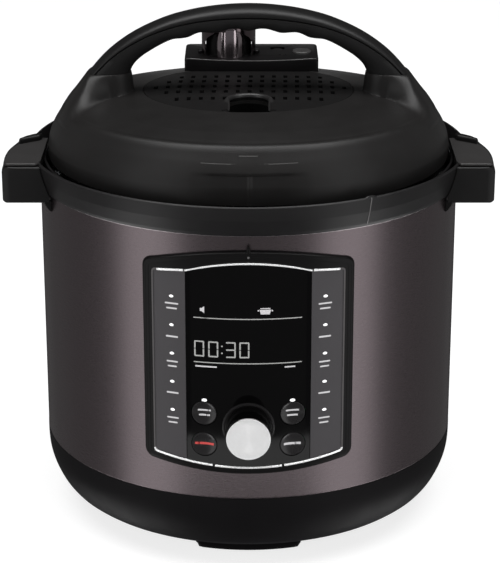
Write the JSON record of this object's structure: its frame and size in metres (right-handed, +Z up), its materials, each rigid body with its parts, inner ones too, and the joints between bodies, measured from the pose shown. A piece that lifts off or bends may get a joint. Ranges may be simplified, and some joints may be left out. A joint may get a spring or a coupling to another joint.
{
  "type": "electric pressure cooker",
  "caption": "Free-standing electric pressure cooker: steel body, black collar with side handles, turning domed lid with arched handle, steam valve hood, curved control panel with knob.",
  "frame": {"origin": "on the resting plane, under the middle of the body's bounding box and under the body's axis", "axes": "+Z up, -Y is the side with the control panel, +X to the viewer's right when facing the panel"},
  "size_m": [0.364, 0.362, 0.3834],
  "materials": {
    "black_satin": "satin moulded black polypropylene, fine grain",
    "black_matte": "matte moulded black polypropylene",
    "rubber_black": "matte rubber",
    "black_stainless": "black-stainless tinted brushed steel, grain runs round the body",
    "steel": "satin stainless",
    "spun_aluminium": "spun aluminium face",
    "aluminium": "cast aluminium",
    "dark_chrome": "polished rose-black chrome",
    "bright_chrome": "polished chrome line",
    "gloss_black": "gloss black display window",
    "strip_grey": "dark warm grey control strips",
    "key_black": "satin-gloss dished keys",
    "led_white": "milky light guide",
    "silicone": "translucent silicone",
    "zinc": "zinc-plated screws and springs",
    "board_green": "lacquered circuit board",
    "wire_red": "silicone-sleeved wire",
    "brass_pin": "nickel-brass pins",
    "module_black": "black module housing"
  },
  "bodies": {
    "root": {"base_housing": "black_satin", "base_feet": "rubber_black", "base_screws": "zinc", "outer_shell": "black_stainless", "collar": "black_satin", "side_handle_left": "black_satin", "side_handle_right": "black_satin", "handle_screws": "zinc", "inner_housing": "steel", "heater_bracket": "steel", "heating_plate": "aluminium", "heating_element": "zinc", "sensor_spring": "zinc", "power_board": "board_green", "control_board": "board_green", "wiring_harness": "wire_red", "power_inlet": "black_matte", "inlet_pins": "brass_pin", "collector_bracket": "black_matte", "panel_bezel": "black_matte", "panel_strip_left": "strip_grey", "panel_strip_right": "strip_grey", "display_glass": "gloss_black", "chrome_trim": "bright_chrome", "display_module": "module_black", "indicator_lights": "led_white", "encoder": "zinc", "knob_ring": "key_black"},
    "temperature_sensor": {"temperature_sensor": "aluminium"},
    "condensation_collector": {"condensation_collector": "black_satin"},
    "encoder_shaft": {"encoder_shaft": "zinc"},
    "knob": {"knob": "spun_aluminium"},
    "key_upper_left": {"key_upper_left": "key_black"},
    "key_upper_right": {"key_upper_right": "key_black"},
    "key_lower_left": {"key_lower_left": "key_black"},
    "key_lower_right": {"key_lower_right": "key_black"},
    "inner_pot": {"inner_pot": "steel"},
    "sealing_ring": {"sealing_ring": "silicone"},
    "lid": {"lid_shell": "black_satin", "lid_liner": "steel", "ring_rack": "steel", "handle_grip": "black_satin", "handle_cover": "black_satin", "handle_bolts": "zinc", "vent_grille": "black_matte", "valve_console": "black_matte", "steam_pipe": "steel", "steam_pipe_nut": "steel", "anti_block_shield": "steel", "button_spring": "zinc"},
    "steam_release_valve": {"steam_release_valve": "black_matte"},
    "diffuser_cover": {"diffuser_cover": "dark_chrome"},
    "quick_release_button": {"quick_release_button": "black_satin"},
    "float_valve": {"float_valve": "aluminium", "float_valve_seal": "silicone"}
  },
  "joints": [
    {"name": "pot_lift", "type": "slide", "parent": "root", "child": "inner_pot", "axis": [0, 0, 1], "range_m": [0, 0.2]},
    {"name": "lid_lift", "type": "slide", "parent": "inner_pot", "child": "sealing_ring", "axis": [0, 0, 1], "range_m": [0, 0.15]},
    {"name": "lid_turn", "type": "hinge", "parent": "sealing_ring", "child": "lid", "pos_m": [0, 0, 0.3], "axis": [0, 0, 1], "range_deg": [0, 30]},
    {"name": "diffuser_lift", "type": "slide", "parent": "lid", "child": "diffuser_cover", "axis": [0, 0, 1], "range_m": [0, 0.05]},
    {"name": "steam_valve_lift", "type": "slide", "parent": "lid", "child": "steam_release_valve", "axis": [0, 0, 1], "range_m": [0, 0.003]},
    {"name": "float_rise", "type": "slide", "parent": "lid", "child": "float_valve", "axis": [0, 0, 1], "range_m": [0, 0.005]},
    {"name": "quick_release_press", "type": "slide", "parent": "lid", "child": "quick_release_button", "axis": [0, 0, 1], "range_m": [-0.003, 0], "stiffness_N_per_m": 600, "deforming": ["button_spring"]},
    {"name": "knob_turn", "type": "hinge", "parent": "root", "child": "encoder_shaft", "pos_m": [0, -0.16, 0.1155], "axis": [0, -1, 0], "continuous": true},
    {"name": "knob_press", "type": "slide", "parent": "encoder_shaft", "child": "knob", "axis": [0, 1, 0], "range_m": [0, 0.0008], "stiffness_N_per_m": 1500},
    {"name": "key_upper_left_press", "type": "slide", "parent": "root", "child": "key_upper_left", "axis": [0, 1, 0], "range_m": [0, 0.0006], "stiffness_N_per_m": 1500},
    {"name": "key_upper_right_press", "type": "slide", "parent": "root", "child": "key_upper_right", "axis": [0, 1, 0], "range_m": [0, 0.0006], "stiffness_N_per_m": 1500},
    {"name": "key_lower_left_press", "type": "slide", "parent": "root", "child": "key_lower_left", "axis": [0, 1, 0], "range_m": [0, 0.0006], "stiffness_N_per_m": 1500},
    {"name": "key_lower_right_press", "type": "slide", "parent": "root", "child": "key_lower_right", "axis": [0, 1, 0], "range_m": [0, 0.0006], "stiffness_N_per_m": 1500},
    {"name": "sensor_press", "type": "slide", "parent": "root", "child": "temperature_sensor", "axis": [0, 0, 1], "range_m": [-0.002, 0], "stiffness_N_per_m": 800, "deforming": ["sensor_spring"]},
    {"name": "collector_slide", "type": "slide", "parent": "root", "child": "condensation_collector", "axis": [0, 1, 0], "range_m": [0, 0.04]}
  ]
}
